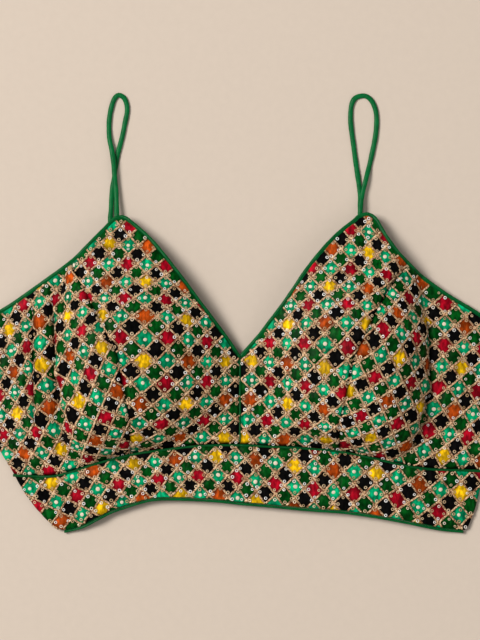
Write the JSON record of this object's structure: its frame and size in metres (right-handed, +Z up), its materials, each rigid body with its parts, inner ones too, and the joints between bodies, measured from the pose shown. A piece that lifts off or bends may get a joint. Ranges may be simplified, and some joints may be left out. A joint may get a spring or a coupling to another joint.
{
  "type": "spaghetti strap blouse",
  "caption": "Sleeveless V-neck blouse with padded cups, an underbust band and thin rouleau straps, laid flat.",
  "frame": {"origin": "the middle of the blouse's box, on the surface it lies on", "axes": "+X across the blouse to the right as seen from above, +Y from the hem towards the straps, +Z up"},
  "size_m": [0.4335, 0.3742, 0.0421],
  "materials": {
    "front_cloth": "satin cells of many colours in a braid lattice with ring sequins",
    "back_cloth": "the same embroidered satin, seen from below",
    "lining": "plain matt green inner face",
    "piping": "green satin bias piping",
    "strap": "green satin rouleau",
    "braid": "peach and gold looped braid",
    "sequin": "small gold and clear ring sequins",
    "dot": "cream embroidered dots",
    "wire": "plain wire hooks and bars"
  },
  "bodies": {
    "root": {"back_band_left": "back_cloth", "back_band_right": "back_cloth", "back_left": "back_cloth", "back_right": "back_cloth", "bar_1": "wire", "bar_2": "wire", "bar_3": "wire", "binding_left": "piping", "binding_right": "piping", "front_band": "front_cloth", "front_centre_left": "front_cloth", "front_centre_right": "front_cloth", "front_side_left": "front_cloth", "front_side_right": "front_cloth", "hook_1": "wire", "hook_2": "wire", "hook_3": "wire", "piping_back_top_left": "piping", "piping_back_top_right": "piping", "piping_band_back_left": "piping", "piping_band_back_right": "piping", "piping_band_front": "piping", "piping_centre": "piping", "piping_hem_back_left": "piping", "piping_hem_back_right": "piping", "piping_hem_front": "piping", "piping_side_left": "piping", "piping_side_right": "piping", "strap_left": "strap", "strap_right": "strap"}
  },
  "joints": []
}
